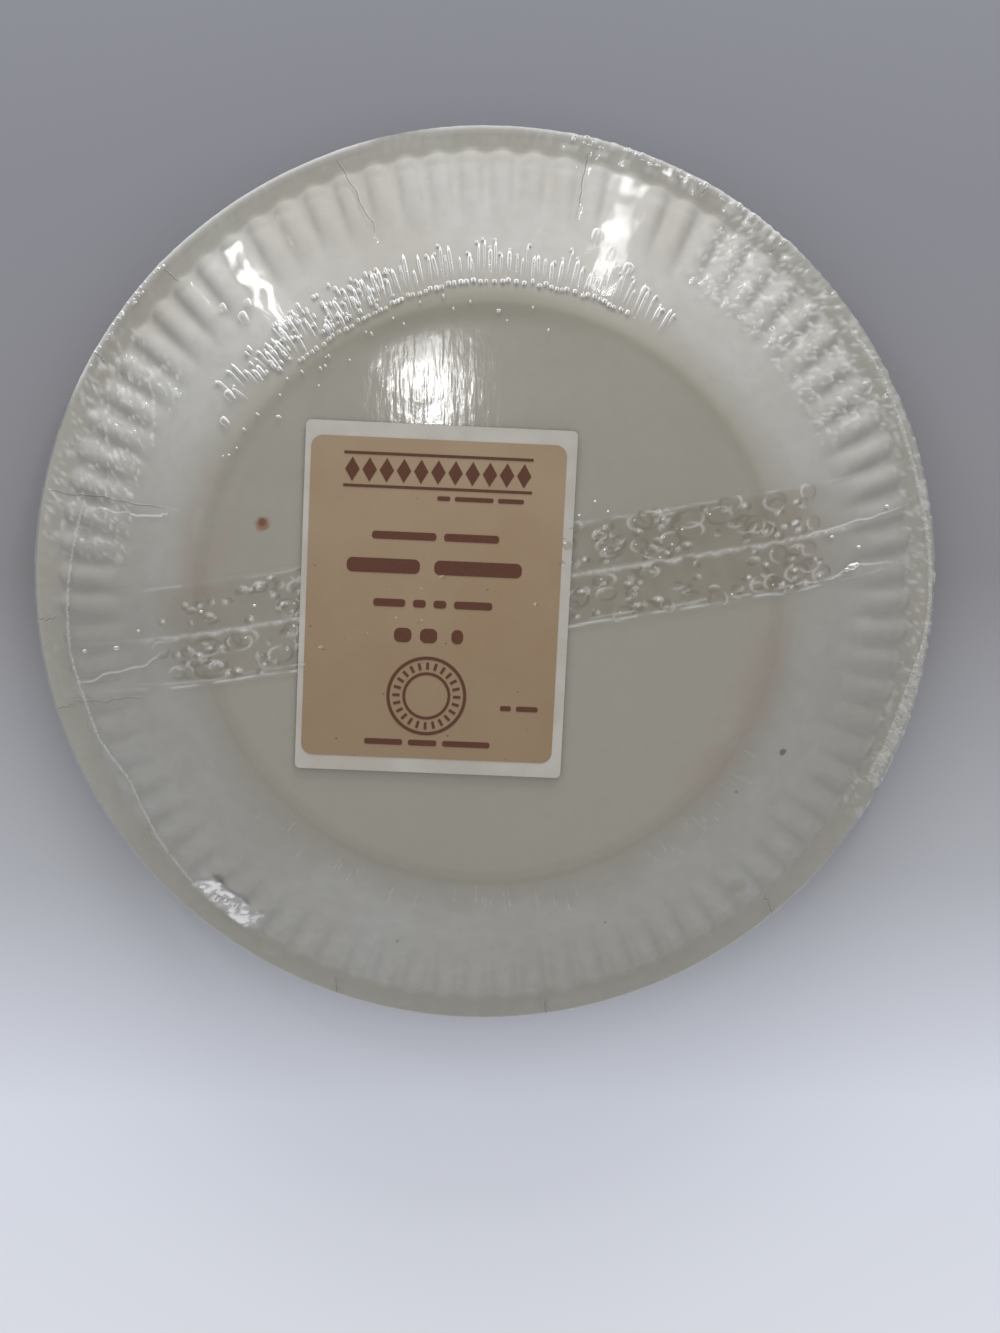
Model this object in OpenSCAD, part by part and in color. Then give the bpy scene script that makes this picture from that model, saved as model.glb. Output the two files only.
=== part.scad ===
// Stack of paper plates: eight fluted board plates, rims down, in a clear shrink film.
// The film is lapped and welded across the plates' backs, and carries a printed paper label.
// Units are mm. +Z is up. The origin is under the middle of the pack, on the surface it rests on.

/* [Plate] */
// Width across the rim
plate_d = 177.8; // [150:0.1:240]
// Flat lip outside the flutes
lip_w = 4.9; // [3:0.1:8]
// Wall from the lip to the crease round the base, seen from above
wall_run = 28.25; // [22:0.05:36]
// Slope of the fluted part of the wall, in degrees
wall_slope = 35; // [30:1:40]
// Slope of the wall where it meets the base, in degrees
crease_slope = 14; // [8:1:20]
// Thickness of the board, measured upright
board_t = 0.5; // [0.35:0.05:0.7]
// Upright air between two nested plates
nest_gap = 0.4; // [0.3:0.05:1.2]

/* [Flutes] */
// Flutes round the plate
flute_n = 84; // [60:1:96]
// Turn of the ring of flutes, in degrees
flute_turn = -1.7; // [-2:0.1:2]
// Straight part of the wall that carries them, seen from above
flute_run = 16; // [12:0.5:20]
// Height of a crown above the wall
flute_h = 0.9; // [0.6:0.05:1.2]
// Bare wall between two flutes at their inner ends
flute_gap = 0.75; // [0.5:0.05:1.5]
// Bare wall beyond each end of a flute
flute_margin = 0.9; // [0.5:0.1:2]
// Slope of a flute's outer end, in degrees to the wall
flute_toe = 25; // [18:1:28]
// Slope of its inner end, in degrees to the wall
flute_fade = 7; // [7:1:20]
// Height where the round crown gives way to straight sides
flute_skirt = 0.3; // [0.2:0.05:0.4]

/* [Film] */
// Film, drawn thicker than the real one
film_t = 0.2; // [0.1:0.05:0.3]
// Air between film and board
film_clear = 0.1; // [0.05:0.05:0.3]
// Width of the lap of film over film
seam_w = 20.5; // [10:0.5:30]
// What the lap adds to the film
seam_t = 0.1; // [0.05:0.05:0.3]
// The lap's turn from the X axis, in degrees
seam_angle = 9.2; // [-45:0.1:45]
// Middle of the lap, from the pack's middle, across the lap
seam_y = 1.75; // [-8:0.05:8]
// Width of the welded line along the middle of the lap
weld_w = 1.2; // [0.6:0.1:3]
// What the weld adds to the lap
weld_t = 0.1; // [0.05:0.05:0.3]

/* [Label] */
// Width of the label's paper
label_w = 51.3; // [36:0.1:56]
// Length of the label's paper
label_l = 67; // [50:0.5:74]
// Radius of the paper's corners
label_r = 1; // [0.5:0.1:4]
// Thickness of the paper
label_t = 0.12; // [0.08:0.01:0.3]
// Middle of the label, to the right of the pack's middle
label_x = -10.5; // [-14:0.1:14]
// Middle of the label, up from the pack's middle
label_y = -0.6; // [-8:0.1:8]
// The label's turn, in degrees
label_angle = -2.4; // [-10:0.1:10]
// Glue between the weld and the label
glue_t = 0.02; // [0.01:0.01:0.1]

/* [Print] */
// Bare paper at the left of the ink field
border_left = 1.1; // [0.5:0.1:4]
// Bare paper at its right
border_right = 1.9; // [0.5:0.1:4]
// Bare paper at its top and bottom
border_end = 2.8; // [0.5:0.1:6]
// Radius of the ink field's corners
panel_r = 2.2; // [0.5:0.1:6]
// Each layer of ink, drawn thicker than it is
ink_t = 0.06; // [0.03:0.01:0.1]
// Lozenges in the band at the top of the label
lozenge_n = 11; // [5:1:16]
// Flutes drawn in the plate sign
sign_flutes = 24; // [12:1:36]

/* [Hidden] */
$fn = 96;
plate_n = 8;

root = 0.8;            // how far a flute's block reaches under the wall, for the cuts
spare = 3;             // what a cutting block runs past the work

pitch = board_t + nest_gap;
plate_r = plate_d / 2;
lip_r = plate_r - lip_w;
base_r = lip_r - wall_run;
straight_r = lip_r - flute_run;
straight_z = flute_run * tan(wall_slope);

// The wall's upper part is an arc that leaves the straight part without a bend.
arc_r = (straight_r - base_r) / (sin(wall_slope) - sin(crease_slope));
arc_x = straight_r - arc_r * sin(wall_slope);
arc_z = straight_z - arc_r * cos(wall_slope);
arc_step = (wall_slope - crease_slope) / 4;
depth = arc_z + arc_r * cos(crease_slope);

// Flutes lie along the wall, so their lengths are measured down its slope.
flute_len = flute_run / cos(wall_slope) - 2 * flute_margin;
flute_in_r = straight_r + flute_margin * cos(wall_slope);
flute_w = 2 * PI * flute_in_r / flute_n - flute_gap;
crown_r = (flute_h * flute_h + flute_w * flute_w / 4) / (2 * flute_h);
crown_z = flute_h - crown_r;
skirt_x = sqrt(crown_r * crown_r - pow(flute_skirt - crown_z, 2));
skirt_fall = skirt_x / (flute_skirt - crown_z);

// Heights in the pack.
seat_z = film_t + film_clear;
top_lip_z = (plate_n - 1) * pitch + board_t;
film_out = film_clear + film_t;
film_top_z = seat_z + top_lip_z + depth + film_out;
label_z = film_top_z + seam_t + weld_t + glue_t;

panel_w = label_w - border_left - border_right;
panel_l = label_l - 2 * border_end;

// Plates

// The half section under a plate's back, from the axis out to radius r.
module back_section(r) {
    polygon([[0, -spare], [0, depth], [base_r, depth], [straight_r, straight_z],
             [lip_r, 0], [r, 0], [r, -spare]]);
    intersection() {
        translate([arc_x, arc_z]) circle(arc_r);
        polygon([[base_r, 0], [base_r, depth], [straight_r, straight_z], [straight_r, 0]]);
    }
}

// One flute on a level wall, its crown along +X, from its inner end.
module flute() {
    side_x = skirt_x + (root + flute_skirt) / skirt_fall;
    peak_x = skirt_x - (flute_h - flute_skirt) / skirt_fall;
    top_x = flute_len * tan(flute_toe) / (tan(flute_toe) + tan(flute_fade));
    intersection() {
        rotate([90, 0, 90]) linear_extrude(flute_len + spare) intersection() {
            translate([0, crown_z]) circle(crown_r);
            polygon([[-side_x, -root], [-peak_x, flute_h], [peak_x, flute_h], [side_x, -root]]);
        }
        rotate([90, 0, 0]) linear_extrude(2 * flute_w, center = true)
            polygon([[0, -root], [0, 0], [top_x, top_x * tan(flute_fade)],
                     [flute_len + root / tan(flute_toe), -root]]);
    }
}

module flutes() {
    for (i = [0 : flute_n - 1])
        rotate([0, 0, flute_turn + i * 360 / flute_n])
            translate([lip_r, 0, 0])
                rotate([0, wall_slope, 0])
                    translate([-flute_len - flute_margin, 0, 0])
                        flute();
}

// The solid under a plate's back. A plate is this form less the same form one board lower,
// so plates of one shape nest at any pitch.
module back_form(r) {
    rotate_extrude() back_section(r);
    flutes();
}

module plate(i) {
    color("WhiteSmoke")
        translate([0, 0, seat_z + (i - 1) * pitch + board_t])
            difference() {
                back_form(plate_r);
                translate([0, 0, -board_t]) back_form(plate_r + spare);
            }
}

// Film

// Half outline of the stack with air or film of thickness off laid over it.
// It bridges the flutes' crowns, then runs straight from their ends to the rim.
function wall_point(r, off) =
    [r + off * sin(wall_slope), (lip_r - r) * tan(wall_slope) + off * cos(wall_slope)];

function film_outline(off) = concat(
    [[0, depth + off], [base_r + off * tan(crease_slope / 2), depth + off]],
    [for (a = [crease_slope + arc_step : arc_step : wall_slope])
        [arc_x + (arc_r + off) * sin(a), arc_z + (arc_r + off) * cos(a)]],
    [wall_point(flute_in_r + flute_h / tan(flute_fade) * cos(wall_slope), flute_h + off),
     wall_point(lip_r - (flute_margin + flute_h / tan(flute_toe)) * cos(wall_slope),
                flute_h + off),
     [plate_r + off, off],
     [plate_r + off, -top_lip_z - off],
     [0, -top_lip_z - off]]);

module film_form(off) {
    translate([0, 0, seat_z + top_lip_z]) rotate_extrude() polygon(film_outline(off));
}

// A strip across the backs, from rim to rim.
module strip(w, off) {
    intersection() {
        film_form(off);
        rotate([0, 0, seam_angle])
            translate([-plate_d, seam_y - w / 2, seat_z + top_lip_z])
                cube([2 * plate_d, w, depth + spare]);
    }
}

module shrink_film() {
    color("LightBlue", 0.3)
        difference() {
            union() {
                film_form(film_out);
                strip(seam_w, film_out + seam_t);
                strip(weld_w, film_out + seam_t + weld_t);
            }
            film_form(film_clear);
        }
}

// Label

module rounded(w, l, r) {
    square([w - 2 * r, l], center = true);
    square([w, l - 2 * r], center = true);
    for (x = [-1, 1], y = [-1, 1])
        translate([x * (w / 2 - r), y * (l / 2 - r)]) circle(r);
}

module ring(r, line) {
    difference() {
        circle(r);
        circle(r - line);
    }
}

module on_pack(z) {
    translate([label_x, label_y, label_z + z]) rotate([0, 0, label_angle]) children();
}

module on_panel(z) {
    on_pack(z) translate([(border_left - border_right) / 2, 0, 0]) children();
}

// The print's places and sizes are shares of the ink field: across from its middle, up from
// its middle, and the width and height of what is drawn there.
module print_at(across, up) {
    translate([across * panel_w, up * panel_l]) children();
}

function total(v, n) = n <= 0 ? 0 : v[n - 1] + total(v, n - 1);

// A row of bars, whose lengths go as the list says.
module bars(across, up, wide, tall, lengths) {
    n = len(lengths);
    h = tall * panel_l;
    unit = (wide * panel_w - (n - 1) * h) / total(lengths, n);
    print_at(across - wide / 2, up)
        for (i = [0 : n - 1])
            translate([unit * (total(lengths, i) + lengths[i] / 2) + h * i, 0])
                rounded(unit * lengths[i], h, 0.4 * h);
}

// A band of lozenges between two rules.
module band(across, up, wide, tall) {
    w = wide * panel_w;
    h = tall * panel_l;
    step = w / lozenge_n;
    print_at(across, up) {
        for (side = [-1, 1])
            translate([0, side * 0.46 * h]) square([w, 0.08 * h], center = true);
        for (i = [0 : lozenge_n - 1])
            translate([step * (i + 0.5) - w / 2, 0])
                polygon([[-0.42 * step, 0], [0, -0.34 * h], [0.42 * step, 0], [0, 0.34 * h]]);
    }
}

// A plate seen from above, with its flutes.
module plate_sign(across, up, tall) {
    r = tall * panel_l / 2;
    print_at(across, up) {
        ring(r, 0.08 * r);
        ring(0.6 * r, 0.07 * r);
        for (i = [0 : sign_flutes - 1])
            rotate(i * 360 / sign_flutes)
                translate([0.76 * r, 0]) square([0.18 * r, 0.07 * r], center = true);
    }
}

module label() {
    color("White") on_pack(0) linear_extrude(label_t) rounded(label_w, label_l, label_r);
}

module label_panel() {
    color("Tan") on_panel(label_t) linear_extrude(ink_t) rounded(panel_w, panel_l, panel_r);
}

module label_print() {
    color("SaddleBrown") on_panel(label_t + ink_t) linear_extrude(ink_t) {
        band(0, 0.4, 0.74, 0.11);
        bars(0.17, 0.32, 0.34, 0.014, [2, 6, 4]);
        bars(0, 0.2, 0.5, 0.024, [7, 6]);
        bars(0, 0.105, 0.69, 0.045, [5, 6]);
        bars(0, -0.01, 0.47, 0.024, [5, 2, 2, 6]);
        bars(0, -0.11, 0.25, 0.045, [1, 3, 2]);
        plate_sign(-0.01, -0.3, 0.25);
        bars(0.36, -0.33, 0.15, 0.016, [2, 4]);
        bars(0, -0.45, 0.5, 0.018, [4, 3, 5]);
    }
}

for (i = [1 : plate_n])
    plate(i);
shrink_film();
label();
label_panel();
label_print();
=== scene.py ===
"""Stack of paper plates in shrink film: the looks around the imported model.

Lengths are metres. On the film, places and heights are millimetres and clock angles are degrees.
"""

import math
import random
from bisect import bisect_right

import bpy
from mathutils import Matrix, Vector, noise


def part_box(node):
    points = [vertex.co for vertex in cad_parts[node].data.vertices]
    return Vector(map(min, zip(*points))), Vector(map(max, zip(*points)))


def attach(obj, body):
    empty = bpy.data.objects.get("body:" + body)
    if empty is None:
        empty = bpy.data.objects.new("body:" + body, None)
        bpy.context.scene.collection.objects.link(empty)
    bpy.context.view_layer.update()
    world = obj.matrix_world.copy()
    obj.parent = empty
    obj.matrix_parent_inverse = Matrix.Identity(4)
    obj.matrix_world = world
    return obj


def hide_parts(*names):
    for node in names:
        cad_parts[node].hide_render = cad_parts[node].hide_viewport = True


MM = 0.001

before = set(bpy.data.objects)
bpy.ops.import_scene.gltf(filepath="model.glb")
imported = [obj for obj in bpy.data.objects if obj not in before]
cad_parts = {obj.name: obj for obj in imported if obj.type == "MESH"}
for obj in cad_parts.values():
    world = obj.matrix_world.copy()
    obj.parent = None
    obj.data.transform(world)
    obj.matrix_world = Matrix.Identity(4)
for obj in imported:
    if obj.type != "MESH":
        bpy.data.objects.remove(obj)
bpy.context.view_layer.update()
scene = bpy.context.scene

# Sizes shared with the solids

PLATE_COUNT = 8
TOP_PLATE = f"plate_{PLATE_COUNT}"
PITCH = 0.9 * MM
BOARD_T = 0.41 * MM
PLATE_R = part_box(TOP_PLATE)[1].x
LIP_R = PLATE_R - 4.9 * MM
BASE_R = LIP_R - 28.25 * MM
STRAIGHT_R = LIP_R - 16 * MM
WALL_SLOPE = math.radians(35)
CREASE_SLOPE = math.radians(14)
ARC_R = (STRAIGHT_R - BASE_R) / (math.sin(WALL_SLOPE) - math.sin(CREASE_SLOPE))
ARC_X = STRAIGHT_R - ARC_R * math.sin(WALL_SLOPE)
ARC_Z = (LIP_R - STRAIGHT_R) * math.tan(WALL_SLOPE) - ARC_R * math.cos(WALL_SLOPE)
DEPTH = ARC_Z + ARC_R * math.cos(CREASE_SLOPE)
TOP_RIM_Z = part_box(TOP_PLATE)[1].z - DEPTH

FLUTE_COUNT = 84
FLUTE_TURN = math.radians(-1.7)
FLUTE_H = 1.0 * MM
FLUTE_HALF_W = 2.35 * MM
FLUTE_OUT_R = LIP_R + 0.7 * MM
CAP_R = LIP_R - 2.2 * MM
FLUTE_IN_R = STRAIGHT_R + 0.2 * MM
FLUTE_FADE = 10.5 * MM
FLUTE_COLUMNS = 10
CROWN_POWER = 0.95
CAP_DIP = 0.28
CAP_DIP_W = 0.55 * MM
BASE_ROUND_R = 4 * MM
LIP_ROUND_R = 2 * MM
WALL_STEPS = 26

FILM_OFF = 0.3 * MM
FILM_BRIDGE = 1.2 * MM
FILM_BRIDGE_IN_R = 74.75 * MM
FILM_BRIDGE_OUT_R = 81.7 * MM
FILM_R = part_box("shrink_film")[1].x

# The film's lap, in mm but for its turn

SEAM_TURN = math.radians(9.2)
SEAM_SHIFT = 1.75
SEAM_HALF_W = 10.25
SEAM_REACH = 86.5
LAP_LIFT = 0.12
WELD_LIFT = 0.14
LINE_HALF_W = 0.22
SPARK_R = 0.28

# The photograph's camera, fitted to the rim and the label

PHOTO_H = 1333
LENS_PX = 2283.0
CAMERA_TILT = math.radians(9.5)
CAMERA_LEAN = math.radians(1.9)
CAMERA_OFFSET = Vector((2.7, -17.1, 460.0)) * MM
SENSOR = 36.0


def photo_camera():
    """A camera that looks down on the plates' backs, nearly square to them."""
    turn = Matrix.Rotation(CAMERA_LEAN, 3, "Y") @ Matrix.Rotation(CAMERA_TILT, 3, "X")
    turn.transpose()
    data = bpy.data.cameras.new("photo_camera")
    data.sensor_width = SENSOR
    data.lens = SENSOR * LENS_PX / PHOTO_H
    data.clip_start = 0.01
    camera = bpy.data.objects.new("photo_camera", data)
    camera.matrix_world = Matrix.Translation(turn @ CAMERA_OFFSET) @ turn.to_4x4()
    scene.collection.objects.link(camera)
    scene.camera = camera


photo_camera()
scene.view_settings.view_transform = "Standard"


# Shader maths

class Socket:
    """A shader socket that takes part in Python arithmetic by adding Math nodes."""

    def __init__(self, finish, out):
        self.finish = finish
        self.out = out

    def _math(self, operation, *values):
        return self.finish.node("ShaderNodeMath", {"operation": operation}, *values)

    def __add__(self, other):
        return self._math("ADD", self, other)

    def __sub__(self, other):
        return self._math("SUBTRACT", self, other)

    def __rsub__(self, other):
        return self._math("SUBTRACT", other, self)

    def __mul__(self, other):
        return self._math("MULTIPLY", self, other)

    def __pow__(self, other):
        return self._math("POWER", self, other)

    __radd__ = __add__
    __rmul__ = __mul__

    def below(self, edge, soft):
        """1 where the value is under edge, falling to 0 over soft."""
        return self.finish.node(
            "ShaderNodeMapRange", {"interpolation_type": "SMOOTHSTEP"},
            self, edge - soft / 2, edge + soft / 2, 1.0, 0.0,
        )

    def above(self, edge, soft):
        """1 where the value is over edge, rising from 0 over soft."""
        return 1.0 - self.below(edge, soft)

    def clamped(self):
        return self._math("MINIMUM", self, 1.0)


class Finish:
    """A procedural material under construction."""

    def __init__(self, name):
        self.material = bpy.data.materials.new(name)
        self.material.use_nodes = True
        self.tree = self.material.node_tree
        self.tree.nodes.clear()
        self.output = self.tree.nodes.new("ShaderNodeOutputMaterial")

    def node(self, kind, settings=None, *values, out=0, **named):
        """Adds a node: its settings first, then its inputs in order, then its inputs by name."""
        node = self.tree.nodes.new(kind)
        for key, value in (settings or {}).items():
            if key == "stops":
                self._ramp(node, value)
            else:
                setattr(node, key, value)
        for at, value in enumerate(values):
            self._fill(node.inputs[at], value)
        for key, value in named.items():
            self._fill(node.inputs[key.replace("_", " ")], value)
        return Socket(self, node.outputs[out])

    def _fill(self, socket, value):
        if isinstance(value, Socket):
            self.tree.links.new(value.out, socket)
        else:
            socket.default_value = value

    def _ramp(self, node, stops):
        elements = node.color_ramp.elements
        while len(elements) < len(stops):
            elements.new(1.0)
        for element, (place, colour) in zip(elements, stops):
            element.position = place
            element.color = colour

    def place(self):
        """Object coordinates in millimetres."""
        where = self.node("ShaderNodeTexCoord", out=3)
        return self.node("ShaderNodeVectorMath", {"operation": "SCALE"}, where, Scale=1 / MM)

    def along(self, where, axis):
        """One part of a place: axis 0 gives x, 1 gives y."""
        return self.node("ShaderNodeSeparateXYZ", None, where, out=axis)

    def noise(self, where, scale, detail=3.0, rough=0.55, out=0):
        return self.node("ShaderNodeTexNoise", None, Vector=where, Scale=scale, Detail=detail,
                         Roughness=rough, out=out)

    def stretched(self, where, size):
        """The place scaled along each axis, so that a noise read there is drawn out."""
        return self.node("ShaderNodeVectorMath", {"operation": "MULTIPLY"}, where, size)

    def frayed(self, where, scale, reach):
        """The place pushed about by noise, so that what is drawn there has a ragged edge."""
        push = self.noise(where, scale, detail=2.0, out=1)
        push = self.node("ShaderNodeVectorMath", {"operation": "SCALE"}, push, Scale=reach)
        return self.node("ShaderNodeVectorMath", {"operation": "ADD"}, where, push)

    def near(self, where, x, y, radius, soft):
        """1 inside a round spot on the pack, seen from above."""
        flat = self.stretched(where, (1, 1, 0))
        reach = self.node("ShaderNodeVectorMath", {"operation": "DISTANCE"}, flat, (x, y, 0), out=1)
        return reach.below(radius, soft)

    def specks(self, where, scale, size):
        """Small dots, one here and there."""
        reach = self.node("ShaderNodeTexVoronoi", None, Vector=where, Scale=scale)
        some = self.noise(where, scale * 0.35, detail=1.0).above(0.56, 0.1)
        return reach.below(size * scale, 0.35 * size * scale) * some

    def mix(self, share, first, second):
        """A colour mix; share 0 gives first."""
        node = self.tree.nodes.new("ShaderNodeMix")
        node.data_type = "RGBA"
        self._fill(node.inputs[0], share)
        self._fill(node.inputs[6], first)
        self._fill(node.inputs[7], second)
        return Socket(self, node.outputs[2])

    def bump(self, height, strength, distance, under=None):
        values = {"Height": height, "Strength": strength, "Distance": distance}
        if under is not None:
            values["Normal"] = under
        return self.node("ShaderNodeBump", None, **values)

    def surface(self, shader):
        self.tree.links.new(shader.out, self.output.inputs["Surface"])
        return self.material


def srgb(red, green, blue):
    """A colour given as 0 to 255 screen values, as the linear colour that a shader takes."""
    def linear(value):
        share = value / 255
        return share / 12.92 if share <= 0.04045 else ((share + 0.055) / 1.055) ** 2.4
    return (linear(red), linear(green), linear(blue), 1.0)


def polar(clock, radius):
    """x and y from a clock angle, in degrees clockwise from the label's upper side."""
    return radius * math.sin(math.radians(clock)), radius * math.cos(math.radians(clock))


def smooth(share):
    """0 to 1 with soft ends."""
    share = min(1.0, max(0.0, share))
    return share * share * (3 - 2 * share)


# Finishes

# Marks on the board: clock angle, radius, size, strength and colour
BOARD_MARKS = (
    (-71.3, 45.1, 1.3, 0.9, (140, 92, 56)),
    (-71.0, 45.3, 0.7, 0.8, (96, 52, 24)),
    (117.7, 65.6, 0.7, 0.8, (92, 84, 74)),
    (139.6, 78.6, 1.9, 0.3, (130, 108, 78)),
    (128.0, 62.0, 0.3, 0.6, (104, 96, 86)),
    (-166.0, 72.0, 0.35, 0.5, (110, 100, 92)),
    (160.0, 70.0, 0.3, 0.55, (104, 98, 92)),
)


def coated_board(name, marks):
    """Off-white coated board: fine fibre, faint blotches, a rosy worn crease, a few age spots,
    painted shade along the base crease, and a darker painted shadow band inside it on the upper
    side.
    """
    f = Finish(name)
    where = f.place()
    x, y = f.along(where, 0), f.along(where, 1)
    out = (x * x + y * y) ** 0.5
    blotch = f.noise(where, 0.035, detail=4.0)
    mottle = f.noise(where, 0.33)
    fibre = f.noise(where, 2.2, detail=4.0, rough=0.7)
    wall = out.above(BASE_R / MM + 4, 12)
    lip = out.above(LIP_R / MM + 0.5, 2.5)
    colour = f.mix(wall, srgb(158, 154, 142), srgb(178, 177, 174))
    colour = f.mix(lip, colour, srgb(172, 170, 161))
    colour = f.mix(blotch.above(0.5, 0.35) * 0.5, colour, srgb(164, 158, 148))
    colour = f.mix(mottle.above(0.52, 0.3) * 0.2, colour, srgb(150, 149, 136))
    colour = f.mix(fibre.above(0.62, 0.12) * 0.12, colour, srgb(184, 181, 172))
    ring = out.above(BASE_R / MM - 5, 5) * out.below(BASE_R / MM + 3, 5)
    worn = f.near(where, *polar(-78, 56), 14, 14) + f.near(where, *polar(115, 56), 18, 16)
    rose = ring * worn * f.noise(where, 0.09, detail=2.0).above(0.46, 0.14)
    colour = f.mix(rose * 0.4, colour, srgb(158, 138, 130))
    # Painted shade darkens the crease round the flat middle.
    crease = out.above(BASE_R / MM - 1.8, 1.8) * out.below(BASE_R / MM + 0.9, 1.6)
    colour = f.mix(crease * 0.2, colour, srgb(134, 127, 108))
    # Painted shadow: a darker band just inside the crease on the upper side.
    shade = f.near(where, *polar(-6, 58), 20, 26) * out.above(BASE_R / MM - 3.4, 3)
    colour = f.mix(shade * out.below(BASE_R / MM + 2.6, 2.5) * 0.4, colour, srgb(128, 124, 106))
    ragged = f.frayed(where, 1.3, 0.9)
    for clock, radius, size, strength, tint in marks:
        spot = f.near(ragged, *polar(clock, radius), size, size * 0.7)
        colour = f.mix(spot * strength, colour, srgb(*tint))
    grain = f.bump(fibre, 0.25, 0.05 * MM)
    soft = f.bump(mottle, 0.12, 0.3 * MM, under=grain)
    shader = f.node("ShaderNodeBsdfPrincipled", None, Base_Color=colour,
                    Roughness=mottle * 0.12 + 0.46, Normal=soft)
    return f.surface(shader)


def clear_film(name, ripple_depth):
    """Clear film: what lies behind shows through, with a glossy sheen, and a matte coat over it that
    paints highlights white and shade lines dark grey where a vertex value asks for them.
    """
    f = Finish(name)
    where = f.place()
    ripple = f.noise(where, 0.16, detail=2.0)
    grain = f.noise(where, 1.6, detail=2.0)
    fine = f.noise(f.stretched(where, (1.5, 0.22, 1)), 0.5, detail=2.0)
    plume = f.near(where, *polar(-17, 38), 13, 14) * ripple_depth
    waves = f.bump(ripple, ripple_depth, 0.35 * MM)
    waves = f.bump(fine * plume, 0.55, 0.35 * MM, under=waves)
    waves = f.bump(grain, 0.08, 0.05 * MM, under=waves)
    clear = f.node("ShaderNodeBsdfTransparent", None, (0.985, 0.985, 0.98, 1))
    dull = f.node("ShaderNodeBsdfTransparent", None, (0.9, 0.868, 0.825, 1))
    doubled = f.node("ShaderNodeAttribute", {"attribute_name": "doubled"}, out=2)
    see = f.node("ShaderNodeMixShader", None, doubled, clear, dull)
    cloud = f.noise(where, 0.11, detail=4.0, rough=0.65).above(0.5, 0.3)
    sharp = f.node("ShaderNodeBsdfGlossy", None, (1, 1, 1, 1), 0.08, Normal=waves)
    hazy = f.node("ShaderNodeBsdfGlossy", None, (1, 1, 1, 1), 0.32, Normal=waves)
    sheen = f.node("ShaderNodeMixShader", None, cloud * 0.45 + 0.2, sharp, hazy)
    grazing = f.node("ShaderNodeLayerWeight", None, 0.5, out=1)
    shine = f.node("ShaderNodeMixShader", None, grazing ** 5 * 0.9 + 0.05, see, sheen)
    creased = f.node("ShaderNodeAttribute", {"attribute_name": "creased"}, out=2)
    # Painted light: positive values paint white highlights, negative ones dark shade lines.
    tone = f.mix(creased.above(0.0, 0.02), srgb(84, 78, 68), srgb(250, 250, 250))
    painted_lighting = f.node("ShaderNodeBsdfPrincipled", None, Base_Color=tone, Roughness=0.3, Normal=waves)
    share = f.node("ShaderNodeMath", {"operation": "ABSOLUTE"}, creased)
    return f.surface(f.node("ShaderNodeMixShader", None, share.clamped(), shine, painted_lighting))


def label_paper():
    """Aged white paper, with faint blotches and fibre."""
    f = Finish("label_paper")
    where = f.place()
    fibre = f.noise(where, 3.0, detail=4.0, rough=0.7)
    blotch = f.noise(where, 0.08, detail=3.0)
    colour = f.mix(blotch.above(0.5, 0.3), srgb(177, 172, 162), srgb(187, 183, 176))
    colour = f.mix(fibre.above(0.6, 0.15) * 0.25, colour, srgb(164, 157, 144))
    shader = f.node("ShaderNodeBsdfPrincipled", None, Base_Color=colour,
                    Roughness=blotch * 0.1 + 0.26, Normal=f.bump(fibre, 0.12, 0.03 * MM))
    return f.surface(shader)


def tan_ink():
    """The printed field: tan ink that took unevenly, with small brown specks, and painted shade that
    darkens it towards its lower side.
    """
    f = Finish("tan_ink")
    where = f.place()
    fibre = f.noise(where, 2.6, detail=4.0, rough=0.7)
    cloud = f.noise(where, 0.06, detail=3.0)
    colour = f.mix(cloud.above(0.5, 0.4), srgb(150, 126, 97), srgb(155, 133, 106))
    # Painted shade: the field darkens towards its lower side.
    colour = f.mix(f.along(where, 1).below(-6.0, 60.0) * 0.5, colour, srgb(137, 114, 86))
    colour = f.mix(fibre.above(0.6, 0.14) * 0.2, colour, srgb(172, 151, 124))
    low = f.along(where, 1).below(6.0, 40.0) * 0.7 + 0.3
    dots = f.specks(where, 0.42, 0.22) * low
    colour = f.mix(dots * 0.8, colour, srgb(104, 72, 44))
    fine = f.specks(f.stretched(where, (1.3, 0.9, 1)), 0.95, 0.1)
    colour = f.mix(fine * 0.6, colour, srgb(120, 88, 60))
    shader = f.node("ShaderNodeBsdfPrincipled", None, Base_Color=colour,
                    Roughness=fibre * 0.1 + 0.26, Normal=f.bump(fibre, 0.12, 0.03 * MM))
    return f.surface(shader)


def brown_ink():
    """Brown print, thin in places."""
    f = Finish("brown_ink")
    where = f.place()
    fibre = f.noise(where, 3.2, detail=4.0, rough=0.7)
    colour = f.mix(fibre.above(0.6, 0.16) * 0.5, srgb(84, 42, 20), srgb(116, 76, 48))
    shader = f.node("ShaderNodeBsdfPrincipled", None, Base_Color=colour,
                    Roughness=fibre * 0.1 + 0.4, Normal=f.bump(fibre, 0.15, 0.03 * MM))
    return f.surface(shader)


BOARD = coated_board("coated_board", BOARD_MARKS)
CLEAN_BOARD = coated_board("clean_board", ())
FILM = clear_film("clear_film", 0.1)
GATHER_FILM = clear_film("gather_film", 0.0)


# Modelling

JOIN_GAP = 0.002 * MM


def deselect():
    """Leaves nothing selected, so that the next step acts on its own piece alone."""
    bpy.ops.object.select_all(action="DESELECT")


def called(piece, name):
    """Names a piece and its mesh."""
    piece.name = name
    piece.data.name = name
    return piece


def joined(pieces, name):
    """Makes one piece of several."""
    deselect()
    for piece in pieces:
        piece.select_set(True)
    bpy.context.view_layer.objects.active = pieces[0]
    bpy.ops.object.join()
    return called(bpy.context.object, name)


def dress(piece, material, angle=60):
    """The closing steps that every piece shares."""
    deselect()
    piece.select_set(True)
    bpy.context.view_layer.objects.active = piece
    bpy.ops.object.shade_smooth_by_angle(angle=math.radians(angle))
    piece.data.materials.clear()
    piece.data.materials.append(material)
    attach(piece, "root")
    return piece


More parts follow.
